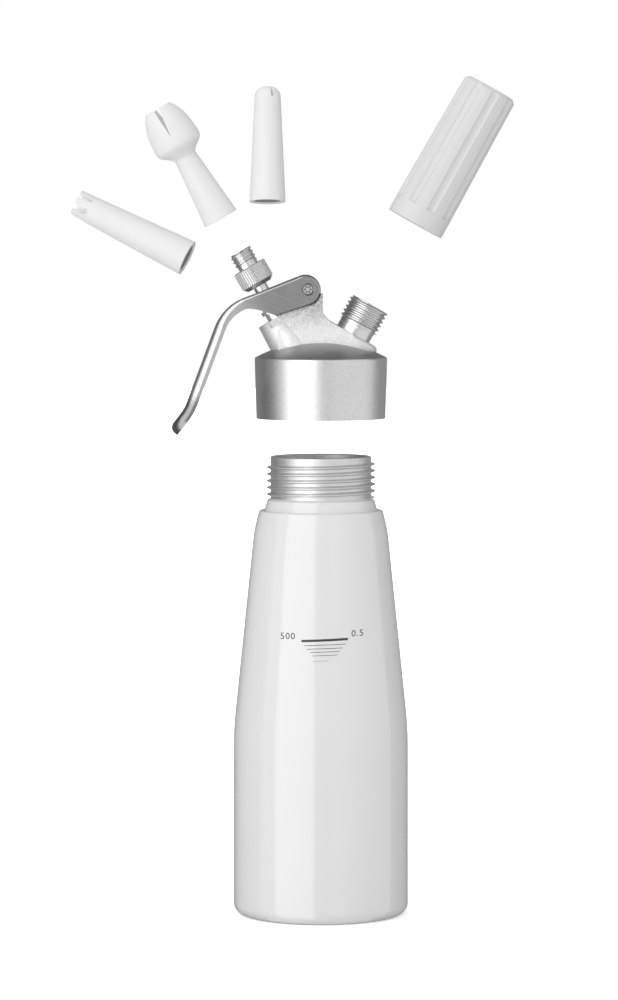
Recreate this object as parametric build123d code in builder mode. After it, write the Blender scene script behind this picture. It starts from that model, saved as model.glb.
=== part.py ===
"""Whipped cream dispenser, taken apart as it is for cleaning.

Millimetres, +Z up. The origin is the centre of the bottle's base, the lever points
along -X and the charger port along +X. The head stands above the bottle's neck, and
the charger holder and one tip stand above the threads that they screw on.
"""
import os
from math import cos, radians, sin, tan

from build123d import *

os.makedirs("parts", exist_ok=True)

# Fits
running_fit = 0.05        # radial play of a shaft in its bore
thread_play = 0.2         # radial play between the crests of two mating threads
seat_gap = 0.3            # play between two faces that meet when assembled
snug_gap = 0.1            # play round a seal
cut_over = 1.0            # how far a hole is cut past the face that it opens
sharp_foot = 0.44         # half a sharp thread's foot, as a share of its pitch

# Bottle
body_radius = 39.0
bottle_wall = 1.5
floor_thickness = 2.5
foot_rounding = 5.0
cone_start = 83.0         # height where the straight side turns into the cone
cone_height = 89.0        # from there to the shoulder
cone_blend = 7.7          # how far on each side of the turn its rounding reaches
shoulder_radius = 29.8
shoulder_rise = 9.2       # from the shoulder to the ledge
shoulder_blend = 3.2
ledge_radius = 27.6
ledge_rounding = 1.2
collar_radius = 25.2
collar_height = 4.5
collar_draft = 1.3        # how much narrower the collar is at its upper edge
collar_fall = 0.9         # rise of the slope between the collar and the neck
neck_radius = 22.4        # at the root of the thread
neck_height = 24.0        # from the ledge to the rim
mouth_radius = 20.5
mouth_rounding = 3.0      # where the inside turns into the mouth
ledge_inner_rounding = 2.0
rim_rounding = 0.45
neck_thread_depth = 1.8
neck_thread_pitch = 3.0
neck_thread_turns = 5.0
neck_thread_start = 1.05  # above the collar

# Head casting
head_lift = 40.6          # how far the head stands above its seat
skirt_height = 26.9
skirt_radius = 29.5
skirt_draft = 0.75        # how much narrower the skirt is at its lower edge
skirt_rounding = 0.9
skirt_bore = 25.7
skirt_thread_turns = 4.2
dome_height = 7.6         # height of the domed top above the skirt
casting_half_width = 9.7
web_inset = 0.7           # how far the web's side lies inside the valve boss
lug_half_width = 5.95
lug_radius = 5.2
lug_face = 6.65           # from the pivot to the lug's flat face, towards the port
lug_face_drop = 2.2       # from the pivot down to that face's upper corner
saddle_reach = 15.4       # from the port's axis to the saddle beside the lug
saddle_run = 2.6
saddle_fall = 1.5
cheek_pocket_depth = 3.0  # below the top of the valve boss
cheek_pocket_reach = 5.0  # past the valve's axis, away from the lug
cheek_pocket_height = 12.0
cheek_play = 0.45         # round the cheeks' round ends
gasket_thickness = 2.0
gasket_width = 5.6

# Valve: heights along its axis are measured from the top of its boss
valve_tilt = 30.0
boss_top = (-19.2, 0.0, 45.1)     # from the centre of the skirt's lower edge
boss_radius = 9.7         # at its top
boss_draft = 0.8          # how much wider the boss is at its foot
chamber_radius = 5.0
chamber_depth = 12.0
guide_length = 4.6
seat_radius = 5.7
stem_radius = 2.5
stem_bore = 1.3
stem_top = 18.0
seat_clearance = 12.0     # space kept free below the seat
cross_hole_radius = 0.8
seal_radius = 5.3
seal_thickness = 1.6
valve_nut_height = 2.4
valve_nut_radius = 4.2
bush_radius = 4.4
bush_flange = 1.0
ring_section = 0.55       # radius of the small sealing rings' section
cap_flange_radius = 5.7
cap_flange_height = 3.2   # above the boss
cap_flange_thickness = 1.7
cap_sleeve_radius = 4.6
cap_sleeve_wall = 0.7
cap_sleeve_reach = 3.0    # into the chamber
cap_top_radius = 3.8
spring_wire = 0.9
spring_radius = 3.3
spring_turns = 7.0

# Tip adapter
adapter_neck_radius = 3.15
nut_base = 16.0
nut_chamfer = 2.0
nut_top_chamfer = 0.6
nut_height = 9.7
nut_radius = 7.7
nut_grooves = 44
nut_groove_radius = 0.4
stub_radius = 5.2         # at the thread's crest
stub_length = 7.9
stub_thread_depth = 0.6
stub_thread_pitch = 1.9
stub_thread_length = 6.2  # down from the stub's top
stub_bore = 2.1

# Lever
pivot = (-5.8, 0.0, 57.4)         # from the centre of the skirt's lower edge
press_angle = 7.0
lever_slope = 21.6
plate_thickness = 1.6
lever_half_gap = 6.25     # half the space between the cheeks
cheek_radius = 6.85
cheek_shift = 1.2         # from the pivot to the centre of the cheeks' round end
cheek_length = 15.8
cheek_depth = 12.75
cheek_taper = 11.4        # length over which the cheeks narrow to the grip's flange
flange_depth = 4.8
flange_rounding = 1.3
cheek_rounding = 1.2      # of the rim round the cheeks' round ends
grip_rounding = 3.4       # of the channel's edges below the bend
plate_length = 27.2       # straight, from above the round end to the bend
bend_rounding = 22.0
grip_slope = 69.6
grip_length = 35.4
flare_slope = 52.0
flare_rounding = 20.0
flare_length = 0.6        # straight, up to the rounded end
pin_radius = 2.0
pin_head_radius = 2.9
pin_head_height = 1.3
pin_head_edge = 0.4       # height of the head's straight edge
pin_head_crown = 0.9      # how much narrower the head is at its top
pin_dents = 6             # left by the riveting tool
pin_dent_radius = 0.5
pin_dent_depth = 0.7
pin_dent_circle = 1.25
washer_radius = 3.6
washer_thickness = 0.5

# Charger port: heights along its axis are measured from its seat on the casting
port_tilt = 29.3
port_seat = (14.3, 0.0, 37.5)     # from the centre of the skirt's lower edge
port_foot_reach = 3.2     # how far the port's foot runs on towards the skirt's edge
port_foot_back = 8.0      # how far it runs back into the web
port_foot_depth = 20.0
port_foot_rounding = 2.0
port_radius = 9.2         # at the thread's crest
port_height = 15.2
port_neck_radius = 8.1
port_neck_height = 3.2
port_neck_slope = 0.6
port_mouth_chamfer = 0.6
port_thread_depth = 1.0
port_thread_pitch = 2.0
port_thread_start = 1.5   # above the port's neck
port_shank_radius = 6.5
port_shank_length = 8.0
port_bore = 5.0
port_bore_floor = 1.0
gas_bore = 1.2
needle_disc_radius = 3.4
needle_disc_thickness = 1.2
needle_radius = 0.9
needle_height = 7.0
needle_point = 2.0
needle_bore = 0.35
piercer_seal_thickness = 2.0
nipple_radius = 2.2
nipple_length = 3.6
sleeve_wall = 0.9
gas_outlet_radius = 4.2
port_gasket_thickness = 1.0

# Charger holder
holder_lift = 53.5        # how far its mouth stands above its seat
holder_seat = 2.5         # height of the seated mouth above the port's seat
holder_length = 69.0
holder_radius = 13.3
holder_end_radius = 12.5
holder_bay_radius = 9.5
holder_end_wall = 2.2
holder_end_rounding = 1.6
holder_mouth_chamfer = 0.4
holder_flare = 0.9        # how much wider the mouth is than the thread's root
holder_flare_depth = 1.5
holder_bay_chamfer = 2.0
holder_thread_length = 13.0
holder_thread_depth = 0.85
holder_thread_start = 2.2
holder_thread_turns = 4.9
flute_count = 9
flute_turn = 12.5         # of one flute from the front, towards the right
flute_radius = 3.0
flute_depth = 0.9
flute_start = 8.0

# Decorating tips
tip_mouth_radius = 8.0
tip_wall = 1.5
tip_socket_depth = 9.5
tip_socket_flare = 0.5
tip_passage_radius = 4.0  # at the socket's end
tip_thread_start = 2.0
tip_thread_depth = 0.65
tip_thread_turns = 2.6
tulip_lift = 24.4         # how far the tulip tip stands above its seat
tulip_length = 56.0
tulip_waist_radius = 5.1
tulip_waist_height = 31.5
tulip_bulb_radius = 10.85
tulip_end_radius = 6.25
tulip_bulb_rise = 0.39    # as a share of the flower's height
tulip_root = (0.67, 0.1)  # radius as a share of the bulb's, height of the flower's
tulip_swell = (0.96, 0.21)
tulip_closing = (0.85, 0.77)
tulip_passage_radius = 3.35
tulip_floor = 1.0         # from the waist up to the end of the passage
petal_edge = 0.8
petals = 4
petal_notch_depth = 13.5
petal_notch_width = 2.9
petal_notch_foot = 0.2
petal_turn = -5.0         # of one notch from the front, towards the right
crown_length = 55.6
crown_end_radius = 5.95
crown_slots = 6
crown_slot_width = 2.9
crown_slot_depth = 7.0
crown_slot_turn = -18.0    # of one slot from the front, towards the right
crown_mouth = (-59.4, 0.0, 71.2)  # from the centre of the skirt's lower edge
crown_lean = 63.6
dome_tip_length = 51.6
dome_end_radius = 5.6
dome_rounding = 4.7
dome_slit_width = 1.0
dome_slit_depth = 5.0
dome_slit_turn = 22.0     # of one slit from the front, towards the right
dome_mouth = (-23.7, 0.0, 96.2)   # from the centre of the skirt's lower edge
loose_tip_turn = 8.0      # how far the loose tips' mouths turn to the front

# Heights that follow from the sizes above
shoulder_height = cone_start + cone_height
ledge_height = shoulder_height + shoulder_rise
rim_height = ledge_height + neck_height
skirt_bottom = ledge_height + seat_gap + head_lift
skirt_top = skirt_bottom + skirt_height
gasket_bottom = rim_height + head_lift + seat_gap
ceiling = gasket_bottom + gasket_thickness + snug_gap
lever_half_width = lever_half_gap + plate_thickness


def on_head(place):
    """Turn a place measured from the skirt's lower edge into one in the part's frame."""
    return Vector(*place) + Vector(0, 0, skirt_bottom)


def tilted_frame(place, lean, turn=0.0):
    """A frame whose Z leans from +Z towards +X and turns its lower end to the front."""
    across = cos(radians(turn))
    axis = Vector(sin(radians(lean)) * across, sin(radians(turn)), cos(radians(lean)) * across)
    return Plane(place, x_dir=Vector(cos(radians(lean)), 0, -sin(radians(lean))), z_dir=axis)


head_frame = Plane.XY.offset(skirt_bottom)
valve_frame = tilted_frame(on_head(boss_top), -valve_tilt)
port_frame = tilted_frame(on_head(port_seat), port_tilt)
pivot_point = on_head(pivot)
pin_frame = Plane(pivot_point, x_dir=(1, 0, 0), z_dir=(0, -1, 0))


def side_of(frame):
    """The plane that holds the frame's axis: x is the radius and y the height."""
    return Plane(frame.origin, x_dir=frame.x_dir, z_dir=-frame.y_dir)


def axis_of(frame):
    """The frame's own axis."""
    return Axis(frame.origin, frame.z_dir)


def spun(frame, turn):
    """The frame turned about its own axis by this many degrees."""
    return Plane(frame.origin, x_dir=frame.x_dir.rotate(axis_of(frame), turn), z_dir=frame.z_dir)


def blend(before, corner, after, reach):
    """Radius of the rounding that starts this far before a corner and ends as far after."""
    turn = (Vector(*corner) - Vector(*before)).get_angle(Vector(*after) - Vector(*corner))
    return reach / tan(radians(turn) / 2)


def turned(frame, points, mode=Mode.ADD):
    """Turn a closed outline of (radius, height) points round the frame's axis."""
    with BuildSketch(side_of(frame)) as outline:
        with BuildLine():
            Polyline(*points, close=True)
        make_face()
    revolve(outline.sketch, axis=axis_of(frame), mode=mode)


def rod(frame, radius, low, high, mode=Mode.ADD):
    """A round bar, or with Mode.SUBTRACT a bore, between two heights."""
    turned(frame, [(0, low), (radius, low), (radius, high), (0, high)], mode)


def ring(frame, inner, outer, low, high, mode=Mode.ADD):
    """A plain ring between two radii and two heights."""
    turned(frame, [(inner, low), (outer, low), (outer, high), (inner, high)], mode)


def o_ring(frame, radius, height):
    """A round-section sealing ring."""
    side = side_of(frame)
    place = side.from_local_coords(Vector(radius, height))
    with BuildSketch(Plane(place, x_dir=side.x_dir, z_dir=side.z_dir)) as circle:
        Circle(ring_section)
    revolve(circle.sketch, axis=axis_of(frame))


def thread(frame, root, crest, pitch, low, turns, foot_share=0.32):
    """A right-hand thread ridge on a root radius; a crest below the root is internal."""
    foot, land, buried = foot_share * pitch, 0.06 * pitch, 0.15
    outward = 1 if crest > root else -1
    with BuildLine() as path:
        Helix(pitch=pitch, height=pitch * turns, radius=root,
              center=frame.from_local_coords(Vector(0, 0, low)), direction=frame.z_dir)
    start = path.line @ 0
    along = path.line % 0
    radial = (start - frame.from_local_coords(Vector(0, 0, low))).normalized()
    section = Plane(start, x_dir=radial, z_dir=along)
    depth = crest - root
    with BuildSketch(section) as tooth:
        with BuildLine():
            Polyline((-buried * outward, -foot), (depth, -land), (depth, land),
                     (-buried * outward, foot), close=True)
        make_face()
    sweep(tooth.sketch, path=path.line, is_frenet=True)


def cut_thread(frame, root, crest, pitch, low, end):
    """A sharp outside thread that runs out through the face at its end."""
    thread(frame, root, crest, pitch, low, (end - low) / pitch + 0.5, sharp_foot)
    rod(frame, crest + cut_over, end, end + 2 * pitch, Mode.SUBTRACT)


def save(piece, name):
    """Label the piece and write it under its own name."""
    piece.part.label = name
    export_step(piece.part, f"parts/{name}.step")


# ---------------------------------------------------------------- bottle
collar_top = ledge_height + collar_height
outer_turns = [(body_radius, 0), (body_radius, cone_start), (shoulder_radius, shoulder_height),
               (ledge_radius, ledge_height)]
inner_radius = body_radius - bottle_wall
inner_turns = [(inner_radius, floor_thickness), (inner_radius, cone_start),
               (shoulder_radius - bottle_wall, shoulder_height),
               (ledge_radius - bottle_wall, ledge_height - 2 * bottle_wall)]
with BuildPart() as bottle:
    with BuildSketch(Plane.XZ):
        with BuildLine():
            outside = FilletPolyline(
                (0, 0), *outer_turns, (collar_radius, ledge_height),
                radius=[foot_rounding, blend(*outer_turns[0:3], cone_blend),
                        blend(*outer_turns[1:4], shoulder_blend), ledge_rounding])
            Polyline(outside @ 1, (collar_radius - collar_draft, collar_top),
                     (neck_radius, collar_top + collar_fall),
                     (neck_radius, rim_height), (0, rim_height), (0, 0))
        make_face()
    revolve(axis=Axis.Z)
    thread(Plane.XY, neck_radius, neck_radius + neck_thread_depth, neck_thread_pitch,
           collar_top + neck_thread_start, neck_thread_turns)
    with BuildSketch(Plane.XZ):
        with BuildLine():
            inside = FilletPolyline(
                (0, floor_thickness), *inner_turns, (mouth_radius, ledge_height),
                (mouth_radius, rim_height + cut_over),
                radius=[foot_rounding - bottle_wall, blend(*inner_turns[0:3], cone_blend),
                        blend(*inner_turns[1:4], shoulder_blend), ledge_inner_rounding,
                        mouth_rounding])
            Polyline(inside @ 1, (0, rim_height + cut_over), (0, floor_thickness))
        make_face()
    revolve(axis=Axis.Z, mode=Mode.SUBTRACT)
    rim = bottle.faces().filter_by(Axis.Z).sort_by(Axis.Z)[-1]
    fillet(rim.edges(), rim_rounding)
save(bottle, "bottle")

# ---------------------------------------------------------------- lever's side view
slope = radians(lever_slope)
plate_dir = Vector(-cos(slope), 0, -sin(slope))
plate_normal = Vector(-sin(slope), 0, cos(slope))
cheek_centre = pivot_point + plate_dir * cheek_shift
# x runs along the plate from above the cheeks' round end, y is the depth below the plate
lever_plane = Plane(cheek_centre + plate_normal * cheek_radius, x_dir=plate_dir, z_dir=(0, -1, 0))
pivot_in_valve = valve_frame.to_local_coords(pivot_point)
valve_arm = pivot_in_valve.X
lean = radians(valve_tilt - lever_slope)
plate_over_valve = (pivot_in_valve.Z + (cheek_radius - plate_thickness) / cos(lean)
                    + valve_arm * tan(lean))
cap_top = plate_over_valve - cap_top_radius * tan(lean) - seat_gap

# ---------------------------------------------------------------- head
boss_foot = -chamber_depth - guide_length
lug_edge = pivot_point.X + lug_face
lug_corner = pivot_point.Z - lug_face_drop
saddle = port_frame.from_local_coords(Vector(-saddle_reach, 0, 0))
web_low = ceiling - cut_over

# the web between the valve boss and the port, with the lug that carries the lever
with BuildPart() as web:
    with BuildSketch(Plane.XZ):
        boss_side = valve_frame.from_local_coords(Vector(boss_radius - web_inset, 0, -seat_gap))
        boss_middle = valve_frame.from_local_coords(Vector(0, 0, -seat_gap))
        port_middle = port_frame.from_local_coords(Vector(0, 0, 0))
        with BuildLine():
            Polyline((boss_middle.X, web_low), (boss_middle.X, boss_middle.Z),
                     (boss_side.X, boss_side.Z), (pivot_point.X - lug_radius, pivot_point.Z),
                     (pivot_point.X, pivot_point.Z), (lug_edge, lug_corner),
                     (lug_edge, saddle.Z + saddle_fall), (saddle.X + saddle_run, saddle.Z - saddle_fall),
                     (port_middle.X, port_middle.Z), (port_middle.X, web_low), close=True)
        make_face()
        with Locations((pivot_point.X, pivot_point.Z)):
            Circle(lug_radius)
    extrude(amount=casting_half_width, both=True)

with BuildPart() as head:
    # the foot of the charger port, a rounded block along the port's axis
    with BuildSketch(port_frame.offset(-port_foot_depth)):
        with Locations((port_foot_reach, 0)):
            Circle(casting_half_width)
        with Locations(((port_foot_reach - port_foot_back) / 2, 0)):
            Rectangle(port_foot_back + port_foot_reach, 2 * casting_half_width)
    extrude(amount=port_foot_depth)
    fillet(head.faces().sort_by(axis_of(port_frame))[-1].edges(), port_foot_rounding)
    add(web.part)
    turned(valve_frame, [(0, boss_foot), (boss_radius + boss_draft, boss_foot), (boss_radius, 0), (0, 0)])
    # pockets that the lever's cheeks swing down into
    pocket_width = valve_arm - cheek_shift + cheek_pocket_reach
    centre = valve_frame.to_local_coords(cheek_centre)
    for side in (1, -1):
        with BuildSketch(side_of(valve_frame).offset(side * lug_half_width)):
            with Locations((pocket_width / 2 - cheek_pocket_reach,
                            cheek_pocket_height / 2 - cheek_pocket_depth)):
                Rectangle(pocket_width, cheek_pocket_height)
            with Locations((centre.X, centre.Z)):
                Circle(cheek_radius + cheek_play)
        extrude(amount=side * casting_half_width, mode=Mode.SUBTRACT)
    # the skirt and its domed top, closed over the inside
    with BuildSketch(Plane.XZ) as cap_outline:
        with BuildLine():
            Line((0, ceiling), (skirt_bore, ceiling))
            Line((skirt_bore, ceiling), (skirt_bore, skirt_bottom))
            Line((skirt_bore, skirt_bottom), (skirt_radius - skirt_draft, skirt_bottom))
            Line((skirt_radius - skirt_draft, skirt_bottom), (skirt_radius, skirt_top))
            dome_sphere = (skirt_radius ** 2 + dome_height ** 2) / (2 * dome_height)
            RadiusArc((skirt_radius, skirt_top), (0, skirt_top + dome_height), -dome_sphere)
            Line((0, skirt_top + dome_height), (0, ceiling))
        make_face()
        shoulder = cap_outline.vertices().sort_by(Axis.X)[-1]
        fillet(shoulder, skirt_rounding)
    revolve(axis=Axis.Z)
    # the space inside the skirt, where the bosses' lower ends would reach in
    rod(head_frame, skirt_bore, -cut_over, ceiling - skirt_bottom, Mode.SUBTRACT)
    thread(head_frame, skirt_bore, neck_radius + neck_thread_depth + thread_play, neck_thread_pitch,
           collar_height + neck_thread_start, skirt_thread_turns)
    # the valve's chamber, guide and seat
    rod(valve_frame, chamber_radius, -chamber_depth, cut_over, Mode.SUBTRACT)
    rod(valve_frame, bush_radius + running_fit, boss_foot - cut_over, 0, Mode.SUBTRACT)
    rod(valve_frame, seat_radius, boss_foot - seat_clearance, boss_foot, Mode.SUBTRACT)
    # the port's bore, the recess of its gasket and the gas outlet
    rod(port_frame, port_shank_radius + running_fit, -port_shank_length - snug_gap, cut_over,
        Mode.SUBTRACT)
    rod(port_frame, port_neck_radius, -port_gasket_thickness - snug_gap, cut_over, Mode.SUBTRACT)
    rod(port_frame, gas_outlet_radius, -port_foot_depth, 0, Mode.SUBTRACT)
    # the bore of the lever's pin
    rod(pin_frame, pin_radius + running_fit, -body_radius, body_radius, Mode.SUBTRACT)
save(head, "head")

with BuildPart() as head_gasket:
    gasket_outer = skirt_bore - seat_gap
    ring(head_frame, gasket_outer - gasket_width, gasket_outer,
         gasket_bottom - skirt_bottom, gasket_bottom + gasket_thickness - skirt_bottom)
save(head_gasket, "head_gasket")

# ---------------------------------------------------------------- charger port
with BuildPart() as charger_port:
    port_root = port_radius - port_thread_depth
    turned(port_frame, [
        (0, -port_shank_length - nipple_length), (nipple_radius, -port_shank_length - nipple_length),
        (nipple_radius, -port_shank_length), (port_shank_radius, -port_shank_length),
        (port_shank_radius, snug_gap), (port_neck_radius, snug_gap),
        (port_neck_radius, port_neck_height), (port_root, port_neck_height + port_neck_slope),
        (port_root, port_height), (0, port_height)])
    cut_thread(port_frame, port_root, port_radius, port_thread_pitch,
               port_neck_height + port_thread_start, port_height)
    # the bay for the charger's neck, its floor and the gas passage
    turned(port_frame, [(0, port_bore_floor), (port_bore, port_bore_floor),
                        (port_bore, port_height - port_mouth_chamfer),
                        (port_bore + port_mouth_chamfer + snug_gap, port_height + snug_gap),
                        (0, port_height + snug_gap)], Mode.SUBTRACT)
    disc_pocket = port_bore_floor - needle_disc_thickness - snug_gap
    rod(port_frame, needle_disc_radius + running_fit, disc_pocket, port_bore_floor, Mode.SUBTRACT)
    rod(port_frame, gas_bore, -port_shank_length - nipple_length - cut_over, port_bore_floor,
        Mode.SUBTRACT)
save(charger_port, "charger_port")

with BuildPart() as port_gasket:
    ring(port_frame, port_shank_radius + running_fit, port_neck_radius - snug_gap,
         -port_gasket_thickness, 0)
save(port_gasket, "port_gasket")

with BuildPart() as piercing_pin:
    disc_low = port_bore_floor - needle_disc_thickness
    turned(port_frame, [
        (needle_bore, disc_low), (needle_disc_radius, disc_low), (needle_disc_radius, port_bore_floor),
        (needle_radius, port_bore_floor),
        (needle_radius, port_bore_floor + needle_height - needle_point),
        (needle_bore + running_fit, port_bore_floor + needle_height),
        (needle_bore, port_bore_floor + needle_height)])
save(piercing_pin, "piercing_pin")

with BuildPart() as piercer_seal:
    ring(port_frame, needle_radius + snug_gap, port_bore - snug_gap, port_bore_floor + snug_gap,
         port_bore_floor + piercer_seal_thickness)
save(piercer_seal, "piercer_seal")

with BuildPart() as check_valve:
    ring(port_frame, nipple_radius + running_fit, nipple_radius + sleeve_wall,
         -port_shank_length - nipple_length + seat_gap, -port_shank_length - snug_gap)
save(check_valve, "check_valve")

# ---------------------------------------------------------------- valve
bush_top = bush_flange - chamber_depth
with BuildPart() as valve_bush:
    turned(valve_frame, [
        (stem_radius + running_fit, boss_foot + seat_gap), (bush_radius, boss_foot + seat_gap),
        (bush_radius, -chamber_depth), (chamber_radius - running_fit, -chamber_depth),
        (chamber_radius - running_fit, bush_top), (stem_radius + running_fit, bush_top)])
    groove_height = -chamber_depth - guide_length / 2
    groove_half = ring_section + running_fit
    ring(valve_frame, stem_radius, stem_radius + 2 * ring_section + snug_gap,
         groove_height - groove_half, groove_height + groove_half, Mode.SUBTRACT)
save(valve_bush, "valve_bush")

with BuildPart() as stem_oring:
    o_ring(valve_frame, stem_radius + ring_section + running_fit, groove_height)
save(stem_oring, "stem_oring")

seal_top = boss_foot - snug_gap
seal_bottom = seal_top - seal_thickness
nut_top = seal_bottom - running_fit
stem_bottom = nut_top - valve_nut_height
with BuildPart() as valve_stem:
    rod(valve_frame, stem_radius, stem_bottom, stem_top)
    rod(valve_frame, stem_bore, seal_top - cross_hole_radius, stem_top + cut_over, Mode.SUBTRACT)
    with BuildSketch(side_of(valve_frame)):
        with Locations((0, seal_top + cross_hole_radius)):
            Circle(cross_hole_radius)
    extrude(amount=2 * stem_radius, both=True, mode=Mode.SUBTRACT)
save(valve_stem, "valve_stem")

with BuildPart() as valve_seal:
    ring(valve_frame, stem_radius + running_fit, seal_radius, seal_bottom, seal_top)
save(valve_seal, "valve_seal")

with BuildPart() as valve_nut:
    with BuildSketch(valve_frame.offset(stem_bottom)):
        RegularPolygon(valve_nut_radius, 6)
        Circle(stem_radius + running_fit, mode=Mode.SUBTRACT)
    extrude(amount=valve_nut_height)
save(valve_nut, "valve_nut")

spring_low = bush_top + spring_wire / 2 + running_fit
spring_high = cap_flange_height + cap_flange_thickness / 2 - spring_wire / 2 - running_fit
with BuildPart() as valve_spring:
    with BuildLine() as coil:
        Helix(pitch=(spring_high - spring_low) / spring_turns, height=spring_high - spring_low,
              radius=spring_radius, center=valve_frame.from_local_coords(Vector(0, 0, spring_low)),
              direction=valve_frame.z_dir)
    with BuildSketch(Plane(coil.line @ 0, z_dir=coil.line % 0)):
        Circle(spring_wire / 2)
    sweep(path=coil.line, is_frenet=True)
save(valve_spring, "valve_spring")

with BuildPart() as stem_collar:
    sleeve_inner = cap_sleeve_radius - cap_sleeve_wall
    cap_low = cap_flange_height + cap_flange_thickness / 2
    flange_top = cap_flange_height + cap_flange_thickness
    turned(valve_frame, [
        (stem_radius + running_fit, cap_low), (sleeve_inner, cap_low),
        (sleeve_inner, -cap_sleeve_reach), (cap_sleeve_radius, -cap_sleeve_reach),
        (cap_sleeve_radius, cap_flange_height), (cap_flange_radius, cap_flange_height),
        (cap_flange_radius, flange_top), (cap_sleeve_radius, flange_top),
        (cap_sleeve_radius, cap_top - cap_sleeve_radius + cap_top_radius), (cap_top_radius, cap_top),
        (stem_radius + running_fit, cap_top)])
save(stem_collar, "stem_collar")

# ---------------------------------------------------------------- tip adapter
nut_face = nut_base + nut_height
stub_top = nut_face + stub_length
with BuildPart() as tip_adapter:
    with BuildSketch(valve_frame.offset(nut_base)):
        Circle(nut_radius)
        with PolarLocations(nut_radius, nut_grooves):
            Circle(nut_groove_radius, mode=Mode.SUBTRACT)
    extrude(amount=nut_height)
    nut_edge = nut_radius + running_fit
    turned(valve_frame, [
        (0, nut_base), (nut_edge - nut_chamfer, nut_base), (nut_edge, nut_base + nut_chamfer),
        (nut_edge, nut_face - nut_top_chamfer), (nut_edge - nut_top_chamfer, nut_face), (0, nut_face)],
        Mode.INTERSECT)
    stub_root = stub_radius - stub_thread_depth
    rod(valve_frame, adapter_neck_radius, cap_top + running_fit, nut_base + nut_chamfer)
    rod(valve_frame, stub_root, nut_base, stub_top)
    cut_thread(valve_frame, stub_root, stub_radius, stub_thread_pitch, stub_top - stub_thread_length,
               stub_top)
    rod(valve_frame, stem_radius + running_fit, cap_top - cut_over, stem_top + snug_gap,
        Mode.SUBTRACT)
    rod(valve_frame, stub_bore, stem_top, stub_top + cut_over, Mode.SUBTRACT)
    ring_height = nut_base + nut_chamfer / 2
    ring(valve_frame, stem_radius, stem_radius + 2 * ring_section + snug_gap,
         ring_height - groove_half, ring_height + groove_half, Mode.SUBTRACT)
save(tip_adapter, "tip_adapter")

with BuildPart() as adapter_oring:
    o_ring(valve_frame, stem_radius + ring_section + running_fit, ring_height)
save(adapter_oring, "adapter_oring")

# ---------------------------------------------------------------- lever
def across(line, share):
    """The plane across a line at this share of its length, with y down into the channel."""
    return Plane(line @ share, x_dir=(0, 1, 0), z_dir=line % share)


def channel(plane, rounding, whole=True):
    """The lever's section, a plate with a flange down each side, or one half of it."""
    with BuildSketch(plane) as section:
        with BuildLine():
            edge = FilletPolyline((0, 0), (lever_half_width, 0), (lever_half_width, flange_depth),
                                  radius=rounding)
            Polyline(edge @ 1, (lever_half_gap, flange_depth), (lever_half_gap, plate_thickness),
                     (0, plate_thickness), edge @ 0)
        make_face()
        if whole:
            mirror(about=Plane.YZ)
    return section.sketch


press = radians(press_angle)
plate_shift = valve_arm * (1 - cos(press)) + (plate_over_valve - pivot_in_valve.Z) * sin(press)
with BuildLine() as plate_run:
    Line((0, 0), (plate_length, 0))
with BuildLine() as bend_run:
    JernArc(plate_run.line @ 1, plate_run.line % 1, bend_rounding, grip_slope - lever_slope)
with BuildLine() as grip_run:
    straight = PolarLine(bend_run.line @ 1, grip_length, direction=bend_run.line % 1)
    flare = JernArc(straight @ 1, straight % 1, flare_rounding, flare_slope - grip_slope)
    PolarLine(flare @ 1, flare_length, direction=flare % 1)
plate_line, bend_line, grip_line = (lever_plane.from_local_coords(run.wire())
                                    for run in (plate_run, bend_run, grip_run))
with BuildPart() as lever:
    # the two cheeks that hold the pin
    for side in (1, -1):
        with BuildSketch(lever_plane.offset(side * lever_half_gap)):
            with Locations((0, cheek_radius)):
                Circle(cheek_radius)
            with BuildLine():
                Line((0, flange_rounding), (0, 2 * cheek_radius))
                Line((0, 2 * cheek_radius), (cheek_length, cheek_depth))
                Spline((cheek_length, cheek_depth), (cheek_length + cheek_taper, flange_depth),
                       tangents=[(1, -0.8), (1, -0.35)])
                Line((cheek_length + cheek_taper, flange_depth),
                     (cheek_length + cheek_taper, flange_rounding))
                Line((cheek_length + cheek_taper, flange_rounding), (0, flange_rounding))
            make_face()
        extrude(amount=side * plate_thickness)
    round_ends = lever.edges().filter_by(GeomType.CIRCLE).group_by(Axis.Y)
    fillet(round_ends[0] + round_ends[-1], cheek_rounding)
    # the plate and its two flanges, one channel bent along its length, with a closed end
    sweep(channel(across(plate_line, 0), flange_rounding), path=plate_line)
    sweep([channel(across(bend_line, 0), flange_rounding), channel(across(bend_line, 1), grip_rounding)],
          path=bend_line, multisection=True)
    sweep(channel(across(grip_line, 0), grip_rounding), path=grip_line)
    grip_end = across(grip_line, 1)
    revolve(channel(grip_end, grip_rounding, whole=False), axis=Axis(grip_end.origin, -grip_end.y_dir),
            revolution_arc=180)
    # the slot that the adapter's neck passes through
    valve_in_lever = lever_plane.to_local_coords(
        valve_frame.from_local_coords(Vector(0, 0, plate_over_valve)))
    slot_reach = adapter_neck_radius + seat_gap
    slot_frame = Plane(lever_plane.from_local_coords(Vector(valve_in_lever.X, 0, 0)),
                       x_dir=plate_dir, z_dir=plate_normal)
    with BuildSketch(slot_frame):
        with Locations((-plate_shift / 2, 0)):
            SlotCenterToCenter(plate_shift + 2 * seat_gap, 2 * slot_reach)
    extrude(amount=2 * plate_thickness, both=True, mode=Mode.SUBTRACT)
    rod(pin_frame, pin_radius, -body_radius, body_radius, Mode.SUBTRACT)
save(lever, "lever")

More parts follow.
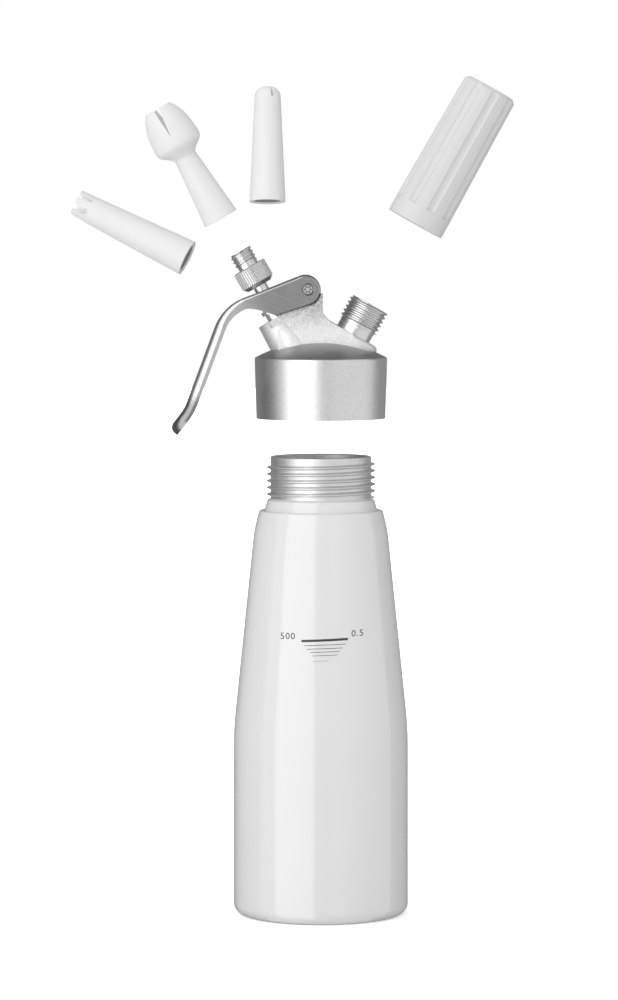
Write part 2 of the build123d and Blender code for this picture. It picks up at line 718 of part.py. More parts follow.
with BuildPart() as lever_pin:
    near = lever_half_width + running_fit
    far = near + washer_thickness + running_fit
    turned(pin_frame, [
        (0, -far - pin_head_height), (pin_head_radius - pin_head_crown, -far - pin_head_height),
        (pin_head_radius, -far - pin_head_edge), (pin_head_radius, -far),
        (pin_radius - running_fit / 2, -far), (pin_radius - running_fit / 2, near),
        (pin_head_radius, near), (pin_head_radius, near + pin_head_edge),
        (pin_head_radius - pin_head_crown, near + pin_head_height), (0, near + pin_head_height)])
    with BuildSketch(pin_frame.offset(near + pin_head_height)):
        with PolarLocations(pin_dent_circle, pin_dents):
            Circle(pin_dent_radius)
    extrude(amount=-pin_dent_depth, mode=Mode.SUBTRACT)
save(lever_pin, "lever_pin")

with BuildPart() as pin_washer:
    ring(pin_frame, pin_radius + running_fit, washer_radius, -near - washer_thickness, -near)
save(pin_washer, "pin_washer")

# ---------------------------------------------------------------- charger holder
holder_frame = port_frame.offset(holder_seat + holder_lift)
with BuildPart() as charger_holder:
    turned(holder_frame, [
        (0, 0), (holder_radius - holder_mouth_chamfer, 0), (holder_radius, holder_mouth_chamfer),
        (holder_radius, flute_start),
        (holder_end_radius, holder_length - holder_end_rounding),
        (holder_end_radius - holder_end_rounding, holder_length), (0, holder_length)])
    # finger flutes that follow the taper to the closed end
    flute_offset = holder_radius - flute_depth + flute_radius
    taper = (holder_radius - holder_end_radius) / (holder_length - flute_start)
    for index in range(flute_count):
        spoke = spun(holder_frame, flute_turn - 90 + 360 * index / flute_count)
        flute = Plane(spoke.from_local_coords(Vector(flute_offset, 0, flute_start)),
                      x_dir=spoke.x_dir, z_dir=spoke.z_dir - spoke.x_dir * taper)
        rod(flute, flute_radius, 0, holder_length, Mode.SUBTRACT)
    thread_root = port_radius + thread_play + holder_thread_depth
    bay_end = holder_length - holder_end_wall
    turned(holder_frame, [
        (0, -cut_over), (thread_root + holder_flare, -cut_over),
        (thread_root + holder_flare, holder_flare_depth - holder_flare),
        (thread_root, holder_flare_depth), (thread_root, holder_thread_length),
        (holder_bay_radius, holder_thread_length + thread_root - holder_bay_radius),
        (holder_bay_radius, bay_end - holder_bay_chamfer),
        (holder_bay_radius - holder_bay_chamfer, bay_end), (0, bay_end)], Mode.SUBTRACT)
    thread(holder_frame, thread_root, port_radius + thread_play, port_thread_pitch,
           holder_thread_start, holder_thread_turns)
save(charger_holder, "charger_holder")


# ---------------------------------------------------------------- decorating tips
def tip_socket(frame):
    """The threaded socket in a tip's mouth, which screws on the adapter's stub."""
    socket = stub_radius + thread_play + tip_thread_depth
    flare = socket + tip_socket_flare
    cone_end = tip_socket_depth + cut_over
    turned(frame, [(0, -cut_over), (flare, -cut_over), (flare, 0), (socket, tip_socket_flare),
                   (socket, tip_socket_depth), (tip_passage_radius, cone_end), (0, cone_end)],
           Mode.SUBTRACT)
    thread(frame, socket, stub_radius + thread_play, stub_thread_pitch, tip_thread_start,
           tip_thread_turns)


def in_flower(radius, height):
    """A point of the tulip's profile from shares of its bulb's radius and flower's height."""
    flower_height = tulip_length - tulip_waist_height
    return Vector(radius * tulip_bulb_radius, tulip_waist_height + height * flower_height)


tulip_frame = valve_frame.offset(nut_face + seat_gap + tulip_lift)
with BuildPart() as tulip_tip:
    with BuildSketch(side_of(tulip_frame)) as flower:
        with BuildLine():
            Line((0, 0), (tip_mouth_radius, 0))
            Line((tip_mouth_radius, 0), (tulip_waist_radius, tulip_waist_height))
            Spline((tulip_waist_radius, tulip_waist_height), in_flower(*tulip_root),
                   in_flower(*tulip_swell), in_flower(1, tulip_bulb_rise),
                   in_flower(*tulip_closing), (tulip_end_radius, tulip_length))
            Line((tulip_end_radius, tulip_length), (0, tulip_length))
            Line((0, tulip_length), (0, 0))
        make_face()
    revolve(flower.sketch, axis=axis_of(tulip_frame))
    # the passage and the open flower
    with BuildSketch(side_of(tulip_frame)) as hollow:
        with BuildLine():
            passage_end = (tulip_passage_radius, tulip_waist_height + tulip_floor)
            Line((0, tip_socket_depth), (tip_passage_radius, tip_socket_depth))
            Line((tip_passage_radius, tip_socket_depth), passage_end)
            Spline(passage_end, in_flower(1, tulip_bulb_rise) - Vector(tip_wall, 0),
                   (tulip_end_radius - petal_edge, tulip_length + cut_over),
                   tangents=[(1, 0.5), (-0.6, 1)])
            Line((tulip_end_radius - petal_edge, tulip_length + cut_over), (0, tulip_length + cut_over))
            Line((0, tulip_length + cut_over), (0, tip_socket_depth))
        make_face()
    revolve(hollow.sketch, axis=axis_of(tulip_frame), mode=Mode.SUBTRACT)
    # notches between the petals
    notch_foot = tulip_length - petal_notch_depth
    for index in range(petals):
        notch_turn = petal_turn + 360 * index / petals
        with BuildSketch(side_of(spun(tulip_frame, notch_turn))) as notch:
            with BuildLine():
                Polyline((-petal_notch_foot / 2, notch_foot), (petal_notch_foot / 2, notch_foot),
                         (petal_notch_width / 2, tulip_length + cut_over),
                         (-petal_notch_width / 2, tulip_length + cut_over), close=True)
            make_face()
        extrude(notch.sketch, amount=2 * tulip_bulb_radius, mode=Mode.SUBTRACT)
    tip_socket(tulip_frame)
save(tulip_tip, "tulip_tip")

crown_frame = tilted_frame(on_head(crown_mouth), -crown_lean, loose_tip_turn)
with BuildPart() as crown_tip:
    turned(crown_frame, [(0, 0), (tip_mouth_radius, 0), (crown_end_radius, crown_length),
                         (0, crown_length)])
    passage_end = crown_length + cut_over
    turned(crown_frame, [(0, tip_socket_depth), (tip_passage_radius, tip_socket_depth),
                         (crown_end_radius - tip_wall, passage_end), (0, passage_end)],
           Mode.SUBTRACT)
    # round-bottomed slots between the crown's points
    slot_length = crown_slot_depth - crown_slot_width / 2
    for index in range(crown_slots // 2):
        slot_turn = crown_slot_turn + 360 * index / crown_slots
        with BuildSketch(side_of(spun(crown_frame, slot_turn))) as slot:
            with Locations((0, crown_length - slot_length)):
                Circle(crown_slot_width / 2)
            with Locations((0, crown_length - slot_length / 2 + cut_over)):
                Rectangle(crown_slot_width, slot_length + 2 * cut_over)
        extrude(slot.sketch, amount=2 * tip_mouth_radius, both=True, mode=Mode.SUBTRACT)
    tip_socket(crown_frame)
save(crown_tip, "crown_tip")

dome_frame = tilted_frame(on_head(dome_mouth), 0, loose_tip_turn)
with BuildPart() as dome_tip:
    with BuildSketch(side_of(dome_frame)) as shell:
        with BuildLine():
            outer = FilletPolyline((0, 0), (tip_mouth_radius, 0), (dome_end_radius, dome_tip_length),
                                   (0, dome_tip_length), radius=[0, dome_rounding])
            Line(outer @ 1, outer @ 0)
        make_face()
    revolve(shell.sketch, axis=axis_of(dome_frame))
    with BuildSketch(side_of(dome_frame)) as bore:
        with BuildLine():
            end_height = dome_tip_length - tip_wall
            inner = FilletPolyline((0, tip_socket_depth), (tip_passage_radius, tip_socket_depth),
                                   (dome_end_radius - tip_wall, end_height), (0, end_height),
                                   radius=[0, dome_rounding - tip_wall])
            Line(inner @ 1, inner @ 0)
        make_face()
    revolve(bore.sketch, axis=axis_of(dome_frame), mode=Mode.SUBTRACT)
    # two crossing slits through the rounded end
    for turn in (0, 90):
        with BuildSketch(side_of(spun(dome_frame, dome_slit_turn + turn))) as slit:
            with Locations((0, dome_tip_length - dome_slit_depth / 2 + cut_over / 2)):
                Rectangle(dome_slit_width, dome_slit_depth + cut_over)
        extrude(slit.sketch, amount=2 * tip_mouth_radius, both=True, mode=Mode.SUBTRACT)
    tip_socket(dome_frame)
save(dome_tip, "dome_tip")
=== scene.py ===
"""Finishes, printed fill mark, studio and camera for the whipped cream dispenser.

Metres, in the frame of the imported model: +Z up, the bottle's axis on X = Y = 0, the
lever towards -X, the charger port towards +X and the viewer towards -Y.
"""
from math import cos, radians, sin

import bmesh
import bpy
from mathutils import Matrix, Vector


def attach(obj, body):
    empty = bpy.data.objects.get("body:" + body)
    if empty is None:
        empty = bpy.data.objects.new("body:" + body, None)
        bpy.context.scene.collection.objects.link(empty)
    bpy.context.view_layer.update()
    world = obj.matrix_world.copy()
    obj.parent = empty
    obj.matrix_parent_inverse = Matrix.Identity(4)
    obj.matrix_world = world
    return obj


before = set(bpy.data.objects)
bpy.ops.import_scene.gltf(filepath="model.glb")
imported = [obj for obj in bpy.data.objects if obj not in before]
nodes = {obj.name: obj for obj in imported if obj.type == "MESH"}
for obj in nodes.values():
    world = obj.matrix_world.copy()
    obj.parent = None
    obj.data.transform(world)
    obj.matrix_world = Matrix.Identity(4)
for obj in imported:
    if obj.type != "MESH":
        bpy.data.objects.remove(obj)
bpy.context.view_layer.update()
MM = 0.001


# ---------------------------------------------------------------- shader helpers
def make(tree, kind, inputs=None, **settings):
    """A shader node. Its inputs are plain values or the output sockets of other nodes."""
    node = tree.nodes.new(kind)
    for name, value in settings.items():
        setattr(node, name, value)
    for key, value in (inputs or {}).items():
        if isinstance(value, bpy.types.NodeSocket):
            tree.links.new(value, node.inputs[key])
        else:
            node.inputs[key].default_value = value
    return node


def principled(name, **values):
    """A new material, its node tree and its Principled shader with plain values set."""
    material = bpy.data.materials.new(name)
    material.use_nodes = True
    shader = material.node_tree.nodes["Principled BSDF"]
    for key, value in values.items():
        shader.inputs[key.replace("_", " ").title()].default_value = value
    return material, material.node_tree, shader


def grey(level, warmth=0.0):
    """An almost neutral colour; warmth above 0 takes away blue."""
    return (level, level * (1 - warmth / 2), level * (1 - warmth), 1.0)


def place(tree, tilt=0.0, stretch=(1.0, 1.0, 1.0)):
    """The piece's own coordinates, turned about Y by tilt degrees and then stretched."""
    own = make(tree, "ShaderNodeTexCoord").outputs["Object"]
    turned = make(tree, "ShaderNodeMapping", {"Vector": own, "Rotation": (0.0, radians(tilt), 0.0)})
    return make(tree, "ShaderNodeMapping", {"Vector": turned.outputs[0], "Scale": stretch}).outputs[0]


def noise(tree, vector, scale, detail=2.0, roughness=0.5):
    """Fractal noise with this many features in a metre."""
    return make(tree, "ShaderNodeTexNoise", {"Vector": vector, "Scale": scale, "Detail": detail,
                                             "Roughness": roughness}).outputs["Fac"]


def spread(tree, factor, low, high):
    """Noise between 0.3 and 0.7, where it mostly lies, brought to a range of values."""
    return make(tree, "ShaderNodeMapRange", {"Value": factor, "From Min": 0.3, "From Max": 0.7,
                                             "To Min": low, "To Max": high}).outputs["Result"]


def tint(tree, factor, dark, light):
    """A colour between two greys, chosen by a factor."""
    mix = make(tree, "ShaderNodeMix", {"Factor": factor}, data_type="RGBA")
    mix.inputs["A"].default_value = dark
    mix.inputs["B"].default_value = light
    return mix.outputs["Result"]


def bump(tree, height, distance, strength=1.0, over=None):
    """Relief of this depth in metres, on top of another bump's normal if one is given."""
    inputs = {"Height": height, "Distance": distance, "Strength": strength}
    if over is not None:
        inputs["Normal"] = over
    return make(tree, "ShaderNodeBump", inputs).outputs["Normal"]


# ---------------------------------------------------------------- finishes
def enamel():
    """White gloss paint with a trace of orange peel under a clear coat."""
    material, tree, shader = principled("white_enamel", roughness=0.17, coat_weight=1.0,
                                        coat_roughness=0.07)
    vector = place(tree)
    mottle = noise(tree, vector, 45, 3)
    peel = noise(tree, vector, 520, 2)
    tree.links.new(tint(tree, mottle, grey(0.705), grey(0.73, 0.006)), shader.inputs["Base Color"])
    tree.links.new(spread(tree, noise(tree, vector, 120), 0.15, 0.20), shader.inputs["Roughness"])
    tree.links.new(bump(tree, peel, 0.006 * MM, 0.6), shader.inputs["Normal"])
    return material


def turned_metal(name, level, roughness, tilt=0.0, groove=0.010, warmth=0.0):
    """Metal with fine tool marks round the axis that leans back by tilt degrees."""
    material, tree, shader = principled(name, metallic=1.0, roughness=roughness)
    rings = noise(tree, place(tree, tilt, (0.02, 0.02, 1.0)), 2600, 3)
    patches = noise(tree, place(tree), 260, 3)
    colour = tint(tree, spread(tree, rings, 0, 1), grey(level * 0.9, warmth), grey(level, warmth))
    tree.links.new(colour, shader.inputs["Base Color"])
    tree.links.new(spread(tree, patches, roughness * 0.85, roughness * 1.2), shader.inputs["Roughness"])
    tree.links.new(bump(tree, rings, groove * MM), shader.inputs["Normal"])
    return material


def blasted_aluminium(name, roughness, level, relief, shade_heights=None):
    """Cast aluminium, bead blasted: even and fine-grained, with small bright facets.

    The last argument gives two heights between which the metal is painted darker and more speckled, a
    painted shade that deepens towards the upper height."""
    material, tree, shader = principled(name, metallic=1.0, roughness=roughness)
    vector = place(tree)
    grain = noise(tree, vector, 1100, 3, 0.65)
    fine = noise(tree, vector, 3600, 2, 0.6)
    clouds = noise(tree, vector, 110, 3)
    colour = tint(tree, spread(tree, grain, 0, 1), grey(level * 0.84), grey(level))
    if shade_heights:
        height = make(tree, "ShaderNodeSeparateXYZ", {0: vector}).outputs["Z"]
        share = make(tree, "ShaderNodeMapRange", {
            "Value": height, "From Min": shade_heights[0], "From Max": shade_heights[1]}).outputs["Result"]
        shade_mix = make(tree, "ShaderNodeMix", {"Factor": share}, data_type="RGBA")
        tree.links.new(colour, shade_mix.inputs["A"])
        shaded_speckle = tint(tree, spread(tree, grain, 0, 1), grey(level * 0.26), grey(level * 0.74))
        tree.links.new(shaded_speckle, shade_mix.inputs["B"])
        colour = shade_mix.outputs["Result"]
    tree.links.new(colour, shader.inputs["Base Color"])
    tree.links.new(spread(tree, clouds, roughness * 0.92, roughness * 1.1), shader.inputs["Roughness"])
    coarse = bump(tree, grain, relief * MM, 0.8)
    tree.links.new(bump(tree, fine, 0.018 * MM, 0.7, coarse), shader.inputs["Normal"])
    return material


def along_lever(tree, start, end):
    """0 on the lever's plate up to start, and 1 past end, in metres from the pivot down the plate."""
    slope = radians(PLATE_SLOPE)
    down = Vector((-cos(slope), 0.0, -sin(slope)))
    own = make(tree, "ShaderNodeTexCoord").outputs["Object"]
    reach = make(tree, "ShaderNodeVectorMath", {0: own}, operation="DOT_PRODUCT")
    reach.inputs[1].default_value = down
    return make(tree, "ShaderNodeMapRange", {
        "Value": reach.outputs["Value"], "From Min": PIVOT.dot(down) + start,
        "From Max": PIVOT.dot(down) + end}, interpolation_type="SMOOTHSTEP").outputs["Result"]


def satin_steel():
    """Stainless sheet, brushed: painted dark as shade on the plate and cheeks, lighter on the grip as a
    painted highlight, and darkest on the tail as painted shade.
    """
    material, tree, shader = principled("satin_steel", metallic=1.0, roughness=0.2)
    belt = noise(tree, place(tree, -PLATE_SLOPE, (0.03, 1.0, 1.0)), 1500, 2)
    streak = spread(tree, belt, 0, 1)
    patches = noise(tree, place(tree), 130, 2)
    height = make(tree, "ShaderNodeSeparateXYZ", {0: place(tree)}).outputs["Z"]
    tail_shade_mask = make(tree, "ShaderNodeMapRange", {
        "Value": height, "From Min": TAIL_START, "From Max": TAIL_END},
        interpolation_type="SMOOTHSTEP").outputs["Result"]
    # painted shade on the plate and cheeks; below, a painted highlight on the grip and a deeper painted
    # shade on the tail
    colour = tint(tree, streak, grey(0.34), grey(0.39))
    for share, dark, light in ((along_lever(tree, GRIP_START, GRIP_END), 0.55, 0.60),
                               (tail_shade_mask, 0.24, 0.28)):
        mix = make(tree, "ShaderNodeMix", {"Factor": share}, data_type="RGBA")
        tree.links.new(colour, mix.inputs["A"])
        tree.links.new(tint(tree, streak, grey(dark), grey(light)), mix.inputs["B"])
        colour = mix.outputs["Result"]
    tree.links.new(colour, shader.inputs["Base Color"])
    tree.links.new(spread(tree, patches, 0.17, 0.24), shader.inputs["Roughness"])
    tree.links.new(bump(tree, belt, 0.003 * MM), shader.inputs["Normal"])
    return material


def rivet_shade_steel():
    """Steel painted dark and mottled, as painted shade."""
    material, tree, shader = principled("rivet_shade_steel", metallic=1.0, roughness=0.5)
    shade_mottle = noise(tree, place(tree), 1800, 3)
    tree.links.new(tint(tree, shade_mottle, grey(0.20), grey(0.36)), shader.inputs["Base Color"])
    tree.links.new(spread(tree, shade_mottle, 0.4, 0.6), shader.inputs["Roughness"])
    return material


def moulded_plastic(name, level, roughness, relief=0.010):
    """White plastic from a lightly eroded mould."""
    material, tree, shader = principled(name, roughness=roughness)
    vector = place(tree)
    grain = noise(tree, vector, 1900, 2)
    flow = noise(tree, vector, 60, 3)
    colour = tint(tree, flow, grey(level * 0.985), grey(level, 0.008))
    tree.links.new(colour, shader.inputs["Base Color"])
    tree.links.new(spread(tree, grain, roughness * 0.92, roughness * 1.08), shader.inputs["Roughness"])
    tree.links.new(bump(tree, grain, relief * MM), shader.inputs["Normal"])
    return material


def seal_rubber():
    """Black rubber with a dusty, faintly uneven skin."""
    material, tree, shader = principled("seal_rubber", roughness=0.6)
    vector = place(tree)
    dust = noise(tree, vector, 900, 3)
    tree.links.new(tint(tree, dust, grey(0.02), grey(0.05)), shader.inputs["Base Color"])
    tree.links.new(spread(tree, dust, 0.5, 0.72), shader.inputs["Roughness"])
    tree.links.new(bump(tree, noise(tree, vector, 2400), 0.02 * MM), shader.inputs["Normal"])
    return material


def print_ink():
    """Dark screen-printing ink, a little thinner in places."""
    material, tree, shader = principled("print_ink", roughness=0.38)
    density = noise(tree, place(tree), 1400, 3)
    tree.links.new(tint(tree, density, grey(0.022), grey(0.05)), shader.inputs["Base Color"])
    return material


def dress(node, *materials):
    """Give a CAD node these materials in place of its own."""
    mesh = nodes[node].data
    mesh.materials.clear()
    for material in materials:
        mesh.materials.append(material)


VALVE_TILT = 30.0
PORT_TILT = -29.3
PLATE_SLOPE = 21.6            # of the lever's plate
PIVOT = Vector((-5.8, 0.0, 279.5)) * MM
GRIP_START = 16 * MM          # from the pivot, down the plate
GRIP_END = 34 * MM
TAIL_START = 235 * MM         # heights
TAIL_END = 227 * MM
SKIRT_TOP = 249.0 * MM
LUG_TOP = 275.0 * MM
enamel_paint = enamel()
cast_skirt = blasted_aluminium("cast_skirt", 0.34, 0.78, 0.09)
# the dome is the same cast aluminium as the skirt, painted darker as shade
shaded_cast_dome = blasted_aluminium("shaded_cast_dome", 0.36, 0.38, 0.06)
# the web's upper part, towards the lug, is painted darker and speckled as shade
cast_web = blasted_aluminium("cast_web", 0.60, 0.94, 0.11, (SKIRT_TOP + 11 * MM, LUG_TOP))
bare_neck = turned_metal("bare_neck", 0.78, 0.46, groove=0.006)
valve_metal = turned_metal("valve_metal", 0.78, 0.17, VALVE_TILT, warmth=0.01)
port_metal = turned_metal("port_metal", 0.76, 0.27, PORT_TILT)
spring_wire = turned_metal("spring_wire", 0.55, 0.25, VALVE_TILT)
lever_steel = satin_steel()
rubber = seal_rubber()
tip_plastic = moulded_plastic("tip_plastic", 0.75, 0.48)
holder_plastic = moulded_plastic("holder_plastic", 0.65, 0.40, 0.014)
bush_plastic = moulded_plastic("bush_plastic", 0.72, 0.35)

dress("lever", lever_steel)
dress("piercing_pin", port_metal)
for name in ("valve_stem", "valve_nut", "stem_collar", "pin_washer"):
    dress(name, valve_metal)
for name in ("head_gasket", "port_gasket", "piercer_seal", "check_valve", "stem_oring", "valve_seal",
             "adapter_oring"):
    dress(name, rubber)
dress("valve_bush", bush_plastic)
dress("valve_spring", spring_wire)


def tilted_axis(x, z, lean, turn=0.0):
    """A place in the XZ plane, in millimetres, and the direction a piece stands in there."""
    across = cos(radians(turn))
    return (Vector((x, 0.0, z)) * MM,
            Vector((sin(radians(lean)) * across, sin(radians(turn)), cos(radians(lean)) * across)))


def round_axis(face, axis):
    """A face's height along an axis, its distance from it and how far it faces away from it."""
    origin, direction = axis
    arm = face.center - origin
    height = arm.dot(direction)
    arm = arm - height * direction
    return height, arm.length, face.normal.dot(arm.normalized())


VALVE_AXIS = tilted_axis(-19.2, 267.2, -VALVE_TILT)
PORT_AXIS = tilted_axis(14.3, 259.6, -PORT_TILT)

# the roots of the threads and of the knurl are painted darker, as shade in the hollows
KNURL = (16.2 * MM, 25.6 * MM)          # heights along the valve's axis
KNURL_FLOOR = 7.0 * MM                  # just under the grooves
KNURL_RADIUS = 7.7 * MM
STUB_THREAD = 27.4 * MM                 # where the stub's thread starts, along the same axis
STUB_ROOT = 4.6 * MM
PORT_THREAD = 4 * MM                    # where the port's thread starts, along the port's axis
PORT_ROOT = 8.2 * MM
dress("tip_adapter", turned_metal("nut_metal", 0.78, 0.22, VALVE_TILT, groove=0.002),
      turned_metal("nut_root_shade", 0.58, 0.36, VALVE_TILT, groove=0.001))
for face in nodes["tip_adapter"].data.polygons:
    height, radius, _ = round_axis(face, VALVE_AXIS)
    groove = KNURL[0] < height < KNURL[1] and KNURL_FLOOR < radius < KNURL_RADIUS - 0.08 * MM
    root = height > STUB_THREAD and STUB_ROOT - 0.1 * MM < radius < STUB_ROOT + 0.15 * MM
    face.material_index = 1 if groove or root else 0
# the port's thread roots are painted darker as shade
dress("charger_port", port_metal, turned_metal("port_root_shade", 0.68, 0.30, PORT_TILT))
for face in nodes["charger_port"].data.polygons:
    height, radius, _ = round_axis(face, PORT_AXIS)
    root = height > PORT_THREAD and PORT_ROOT - 0.1 * MM < radius < PORT_ROOT + 0.25 * MM
    face.material_index = 1 if root else 0

# the tips' sockets are painted dark inside as shade, and the inner faces of their thin ends glow a
# little, a painted light in place of the daylight that thin white plastic lets through
SOCKET_DEPTH = 9.5 * MM
SOCKET_CONE = 1 * MM          # at the socket's inner end
MOUTH_RIM = 0.6 * MM          # of the mouth, as shiny as the outside
tip_socket_shade = moulded_plastic("tip_socket_shade", 0.36, 0.6)
tip_end = moulded_plastic("tip_end", 0.80, 0.5)
tip_end_glow = tip_end.node_tree.nodes["Principled BSDF"].inputs
tip_end_glow["Emission Color"].default_value = grey(1.0)
tip_end_glow["Emission Strength"].default_value = 0.05
for name, axis in (("tulip_tip", VALVE_AXIS), ("crown_tip", tilted_axis(-59.4, 293.3, -63.6, 8.0)),
                   ("dome_tip", tilted_axis(-23.7, 318.3, 0.0, 8.0))):
    dress(name, tip_plastic, tip_socket_shade, tip_end)
    faces = nodes[name].data.polygons
    mouth = min(round_axis(face, axis)[0] for face in faces)
    for face in faces:
        height, _, outward = round_axis(face, axis)
        if height - mouth < SOCKET_DEPTH + SOCKET_CONE:
            face.material_index = 1 if outward < -0.1 and height - mouth > MOUTH_RIM else 0
        else:
            face.material_index = 2 if outward < 0.3 and abs(face.normal.dot(axis[1])) < 0.9 else 0
# the holder's inner faces are painted darker, as shade inside it
dress("charger_holder", holder_plastic, moulded_plastic("holder_bay_shade", 0.42, 0.55))
for face in nodes["charger_holder"].data.polygons:
    face.material_index = 1 if round_axis(face, PORT_AXIS)[2] < -0.1 else 0

# the rivet's rounded edge and the dents in its head, on the viewer's side, are painted dark as shade
RIVET_FACE = -9.2 * MM
RIVET_EDGE = 0.8 * MM         # down from the face
dress("lever_pin", valve_metal, rivet_shade_steel())
for face in nodes["lever_pin"].data.polygons:
    if RIVET_FACE + 0.02 * MM < face.center.y < RIVET_FACE + RIVET_EDGE:
        face.material_index = 1

# the bottle is painted outside, up to the collar under its thread, and bare elsewhere
COLLAR_TOP = 186.55 * MM
bottle = nodes["bottle"]
dress("bottle", enamel_paint, bare_neck)
for face in bottle.data.polygons:
    centre = face.center
    outward = Vector((centre.x, centre.y, 0.0)).dot(face.normal) > 0
    under = centre.z < 3 * MM and face.normal.z < 0
    upward = face.normal.z > 0.99 and centre.z > COLLAR_TOP / 2
    painted = centre.z < COLLAR_TOP and (outward or under or upward)
    face.material_index = 0 if painted else 1

# the head's skirt and dome are turned before blasting, the web and bosses keep a coarser skin
SKIRT_RADIUS = 29.5 * MM
DOME_HEIGHT = 7.6 * MM
dome_sphere = (SKIRT_RADIUS ** 2 + DOME_HEIGHT ** 2) / (2 * DOME_HEIGHT)
dome_centre = Vector((0.0, 0.0, SKIRT_TOP + DOME_HEIGHT - dome_sphere))
dress("head", cast_skirt, shaded_cast_dome, cast_web)
# the dome's faces take the copy painted darker as shade
for face in nodes["head"].data.polygons:
    above_dome = (face.center - dome_centre).length > dome_sphere + 0.15 * MM
    if face.center.z > SKIRT_TOP + 0.1 * MM:
        face.material_index = 2 if above_dome else 1


# ---------------------------------------------------------------- printed fill mark
def put(name, mesh):
    """A mesh as a new object in the scene."""
    piece = bpy.data.objects.new(name, mesh)
    bpy.context.scene.collection.objects.link(piece)
    return piece


def print_on_bottle(name, mesh):
    """Lay a flat print, drawn in the XZ plane, on the front of the bottle as an ink film."""
    film = 0.03 * MM
    start = -0.1                # in front of the bottle
    for vertex in mesh.vertices:
        source = Vector((vertex.co.x, start, vertex.co.z))
        hit, spot, normal, _ = bottle.ray_cast(source, Vector((0, 1, 0)))
        assert hit, name + " misses the bottle"
        vertex.co = spot + normal * film
    piece = put(name, mesh)
    body = piece.modifiers.new("film", "SOLIDIFY")
    body.thickness = film
    body.offset = -1.0
    mesh.materials.append(ink)
    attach(piece, "bottle")


BAR_STEP = 0.8                # across the bottle, in millimetres: a bar follows its curve in steps


def bar(name, left, right, height, thickness, slope=0.0):
    """A printed line between two places across the bottle, at a height, in millimetres."""
    steps = max(2, round((right - left) / BAR_STEP))
    mesh = bpy.data.meshes.new(name)
    ends = [left + (right - left) * i / steps for i in range(steps + 1)]
    verts = [(x * MM, 0.0, (height + slope * (x - left) + side * thickness / 2) * MM)
             for x in ends for side in (-1, 1)]
    faces = [(2 * i, 2 * i + 2, 2 * i + 3, 2 * i + 1) for i in range(steps)]
    mesh.from_pydata(verts, [], faces)
    print_on_bottle(name, mesh)


def letters(name, text, left, height, size, slope=0.0):
    """A short printed text whose lower left corner is given, in millimetres."""
    curve = bpy.data.curves.new(name, "FONT")
    curve.body = text
    curve.size = size * MM
    curve.space_character = 1.15
    source = bpy.data.objects.new(name + "_text", curve)
    mesh = bpy.data.meshes.new_from_object(source)
    bpy.data.objects.remove(source)
    for vertex in mesh.vertices:
        rise = vertex.co.y + slope * vertex.co.x
        vertex.co = Vector((vertex.co.x + left * MM, 0.0, rise + height * MM))
    print_on_bottle(name, mesh)


ink = print_ink()
bar("fill_line", -8.6, 11.8, 125.6, 1.05, 0.042)
for index, (left, right, height, thickness) in enumerate([
        (-7.4, 11.0, 123.65, 0.25), (-6.3, 9.4, 122.1, 0.25), (-4.8, 8.2, 120.7, 0.24),
        (-3.8, 7.2, 119.2, 0.22), (-3.6, 3.1, 116.8, 0.12)]):
    bar(f"fill_line_{index + 1}", left, right, height, thickness, 0.034)
letters("fill_number", "500", -18.0, 126.2, 4.0, 0.03)
letters("fill_volume", "0.5", 13.3, 127.4, 4.0, 0.05)


# ---------------------------------------------------------------- studio
def glow(name, level):
    """A plain surface that gives off even white light."""
    material = bpy.data.materials.new(name)
    material.use_nodes = True
    tree = material.node_tree
    tree.nodes.clear()
    light = make(tree, "ShaderNodeEmission", {"Color": grey(1.0), "Strength": level})
    make(tree, "ShaderNodeOutputMaterial", {"Surface": light.outputs[0]})
    return material


def disc(name, radius, height, segments):
    """A flat round mesh at a height."""
    mesh = bpy.data.meshes.new(name)
    shape = bmesh.new()
    bmesh.ops.create_circle(shape, cap_ends=True, segments=segments, radius=radius)
    bmesh.ops.translate(shape, verts=shape.verts, vec=(0.0, 0.0, height))
    shape.to_mesh(mesh)
    shape.free()
    return mesh


CARD_LOW = -1.6
CARD_HIGH = 1.9
CARD_REACH = 1.3              # from the object's axis
CARD_STEPS = 12


def card(name, start, end, level, gloss_only=False):
    """An upright curved card round the object, from one bearing to another in degrees.

    A bearing of 0 is in front of the object and one of 90 is at its right. The card lights
    the object and shows in its gloss, or only shows there, and the camera looks through it."""
    mesh = bpy.data.meshes.new(name)
    bearings = [radians(start + (end - start) * i / CARD_STEPS) for i in range(CARD_STEPS + 1)]
    verts = [(CARD_REACH * sin(b), -CARD_REACH * cos(b), z) for b in bearings
             for z in (CARD_LOW, CARD_HIGH)]
    mesh.from_pydata(verts, [], [(2 * i, 2 * i + 2, 2 * i + 3, 2 * i + 1) for i in range(CARD_STEPS)])
    mesh.materials.append(glow(name + "_light", level))
    piece = put(name, mesh)
    piece.visible_camera = False
    piece.visible_diffuse = not gloss_only
    piece.visible_shadow = False


card("softbox", -62, -9, 2.0)
card("front_flag", -9, 14, 0.66)
card("fill_card", 14, 104, 0.90)
card("right_flag", 104, 160, 0.32)
card("left_card", -84, -62, 0.75)
card("left_flag", -160, -84, 0.24, gloss_only=True)
card("back_flag", 160, 200, 0.30, gloss_only=True)

# a dim board overhead, which shows only in the gloss of what faces up
board_mesh = disc("top_flag", CARD_REACH, CARD_HIGH, 48)
board_mesh.materials.append(glow("top_flag_light", 0.30))
board = put("top_flag", board_mesh)
board.visible_camera = False
board.visible_diffuse = False
board.visible_shadow = False

world = bpy.data.worlds.new("studio")
bpy.context.scene.world = world
world.use_nodes = True
tree = world.node_tree
tree.nodes.clear()
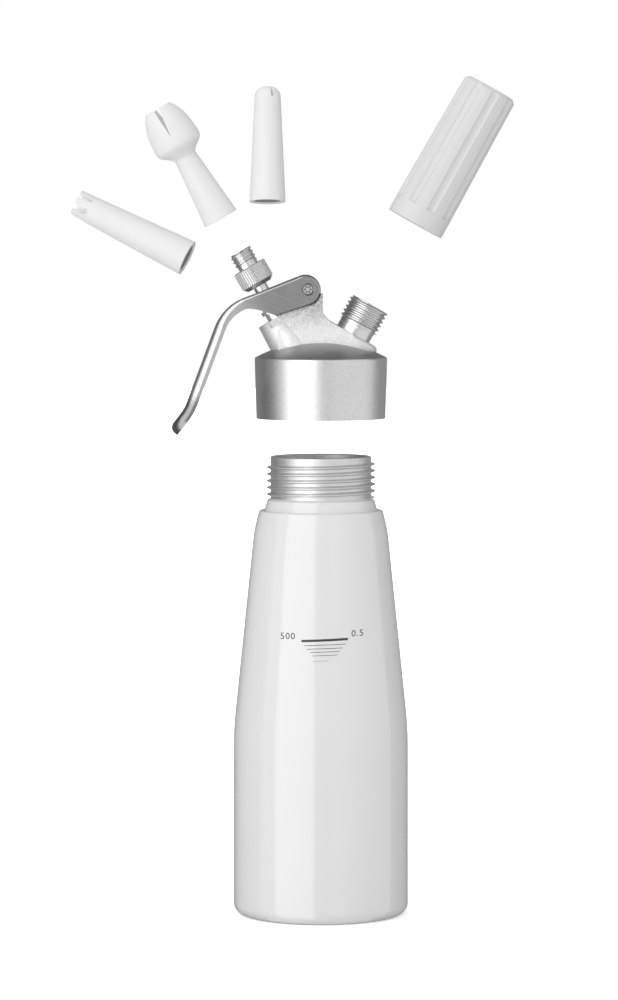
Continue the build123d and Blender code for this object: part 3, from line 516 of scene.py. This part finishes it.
# white to the camera and in gloss and glass, and this strong as a light
AMBIENT = 1.0
rays = make(tree, "ShaderNodeLightPath").outputs
shown = rays["Is Camera Ray"]
for kind in ("Is Glossy Ray", "Is Transmission Ray"):
    shown = make(tree, "ShaderNodeMath", {0: shown, 1: rays[kind]}, operation="MAXIMUM").outputs[0]
level = make(tree, "ShaderNodeMapRange", {"Value": shown, "To Min": AMBIENT, "To Max": 1.0})
sky = make(tree, "ShaderNodeBackground", {"Color": grey(1.0), "Strength": level.outputs[0]})
make(tree, "ShaderNodeOutputWorld", {"Surface": sky.outputs[0]})

# the floor keeps the object's shadow near it and fades to plain white away from it
FLOOR_RADIUS = 6.0
SHADOW_START = 0.12           # from the object's axis
SHADOW_END = 0.6
FLOOR_LIFT = 0.44             # what the floor adds of its own near the object, for the camera
floor_mesh = disc("studio_floor", FLOOR_RADIUS, 0.0, 96)
floor = put("studio_floor", floor_mesh)
floor.visible_glossy = False
floor_material = bpy.data.materials.new("pale_floor")
floor_material.use_nodes = True
tree = floor_material.node_tree
tree.nodes.clear()
rays = make(tree, "ShaderNodeLightPath").outputs
paper = make(tree, "ShaderNodeBsdfDiffuse", {"Color": grey(0.86)})
away = make(tree, "ShaderNodeVectorMath", {0: make(tree, "ShaderNodeTexCoord").outputs["Object"]},
            operation="LENGTH").outputs["Value"]
fade = make(tree, "ShaderNodeMapRange", {
    "Value": away, "From Min": SHADOW_START, "From Max": SHADOW_END,
    "To Min": FLOOR_LIFT, "To Max": 1.0}).outputs["Result"]
lift = make(tree, "ShaderNodeMath", {0: rays["Is Camera Ray"], 1: fade}, operation="MULTIPLY")
shine = make(tree, "ShaderNodeEmission", {"Color": grey(1.0), "Strength": lift.outputs[0]})
both = make(tree, "ShaderNodeAddShader", {0: paper.outputs[0], 1: shine.outputs[0]})
make(tree, "ShaderNodeOutputMaterial", {"Surface": both.outputs[0]})
floor_mesh.materials.append(floor_material)

# ---------------------------------------------------------------- camera
FRAME_HEIGHT = 1000           # pixels
FOCAL_PIXELS = 4494.3
SENSOR_HEIGHT = 24.0
VIEW_DOWN = 3.674             # degrees below level
camera_data = bpy.data.cameras.new("camera")
camera_data.sensor_fit = "VERTICAL"
camera_data.sensor_height = SENSOR_HEIGHT
camera_data.lens = FOCAL_PIXELS / FRAME_HEIGHT * SENSOR_HEIGHT
camera_data.clip_end = 50.0
camera = bpy.data.objects.new("camera", camera_data)
camera.location = (-0.0053, -2.0, 0.3140)
camera.rotation_euler = (radians(90 - VIEW_DOWN), 0.0, 0.0)
bpy.context.scene.collection.objects.link(camera)
bpy.context.scene.camera = camera

bpy.context.scene.view_settings.view_transform = "Standard"
